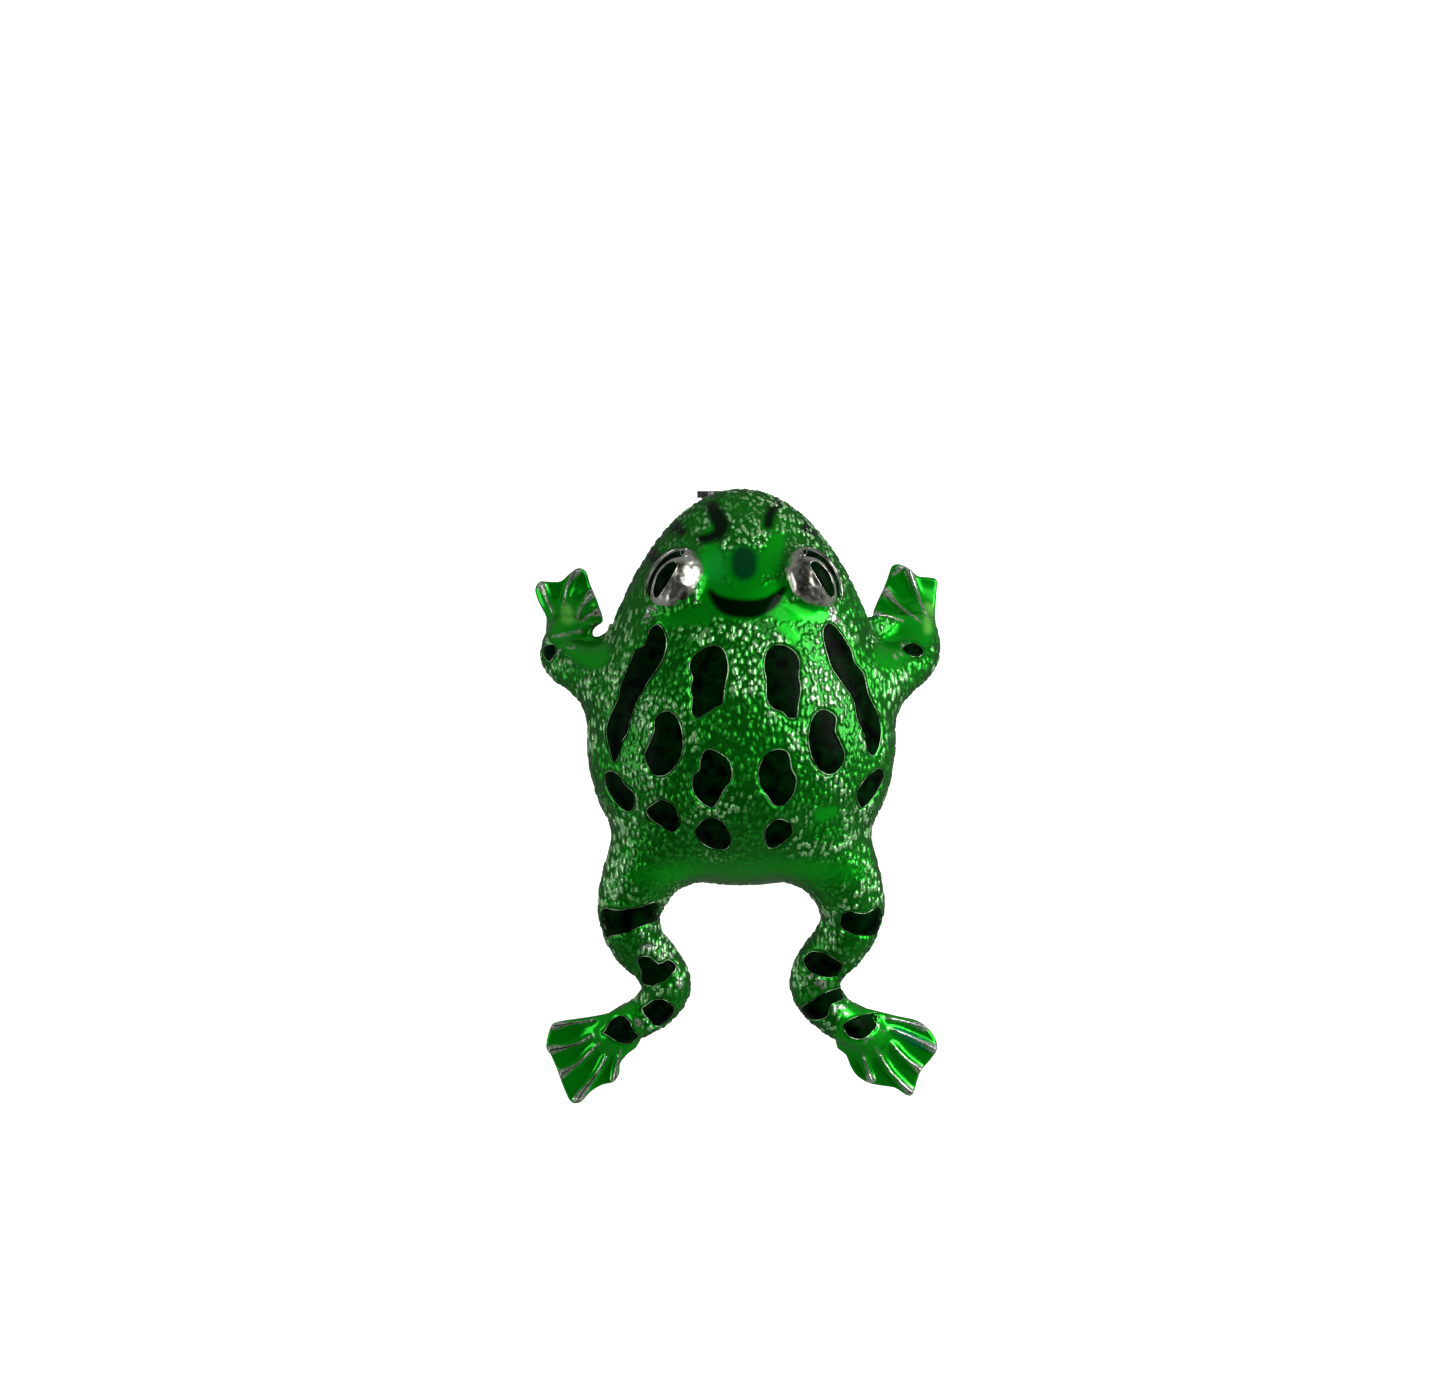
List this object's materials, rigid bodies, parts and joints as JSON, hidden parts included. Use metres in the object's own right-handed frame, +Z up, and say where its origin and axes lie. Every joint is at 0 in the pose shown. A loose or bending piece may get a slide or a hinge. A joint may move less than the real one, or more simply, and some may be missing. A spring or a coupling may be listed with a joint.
{
  "type": "enamelled frog brooch",
  "caption": "Crouching frog brooch in cast silver with green and black enamel, a swinging pin and a turning safety catch under its belly.",
  "frame": {"origin": "centre of the bounding box's base, on the plane that the palms and soles rest on", "axes": "+Z up out of the frog's back, +Y towards its snout, +X to its right-hand side seen from above with the snout up"},
  "size_m": [0.0365, 0.0557, 0.0172],
  "materials": {
    "cast_silver": "satin",
    "green_enamel": "gloss",
    "black_enamel": "gloss",
    "findings": "satin",
    "pin_steel": "polished"
  },
  "bodies": {
    "frog": {"body_shell": "cast_silver", "belly_plate": "cast_silver", "left_arm": "cast_silver", "right_arm": "cast_silver", "left_hind_leg": "cast_silver", "right_hind_leg": "cast_silver", "left_eye": "cast_silver", "right_eye": "cast_silver", "back_enamel": "green_enamel", "left_arm_enamel": "green_enamel", "right_arm_enamel": "green_enamel", "left_leg_enamel": "green_enamel", "right_leg_enamel": "green_enamel", "left_hand_webs": "green_enamel", "right_hand_webs": "green_enamel", "left_foot_webs": "green_enamel", "right_foot_webs": "green_enamel", "left_pupil": "black_enamel", "right_pupil": "black_enamel", "back_spot_1": "black_enamel", "back_spot_2": "black_enamel", "back_spot_3": "black_enamel", "back_spot_4": "black_enamel", "back_spot_5": "black_enamel", "back_spot_6": "black_enamel", "back_spot_7": "black_enamel", "back_spot_8": "black_enamel", "back_spot_9": "black_enamel", "back_spot_10": "black_enamel", "back_spot_11": "black_enamel", "back_spot_12": "black_enamel", "back_spot_13": "black_enamel", "left_leg_band_1": "black_enamel", "left_leg_band_2": "black_enamel", "left_leg_band_3": "black_enamel", "left_leg_band_4": "black_enamel", "right_leg_band_1": "black_enamel", "right_leg_band_2": "black_enamel", "right_leg_band_3": "black_enamel", "right_leg_band_4": "black_enamel", "left_arm_band_1": "black_enamel", "right_arm_band_1": "black_enamel", "hinge_base": "findings", "hinge_rivet": "findings", "catch_housing": "findings"},
    "pin": {"pin_stem": "pin_steel"},
    "catch": {"catch_barrel": "findings"}
  },
  "joints": [
    {"name": "pin_swing", "type": "hinge", "parent": "frog", "child": "pin", "pos_m": [-0.002, -0.0036, 0.0019], "axis": [-1, 0, 0], "range_deg": [0, 100]},
    {"name": "catch_turn", "type": "hinge", "parent": "frog", "child": "catch", "pos_m": [-0.002, 0.0261, 0.0019], "axis": [0, 1, 0], "range_deg": [0, 100]}
  ]
}
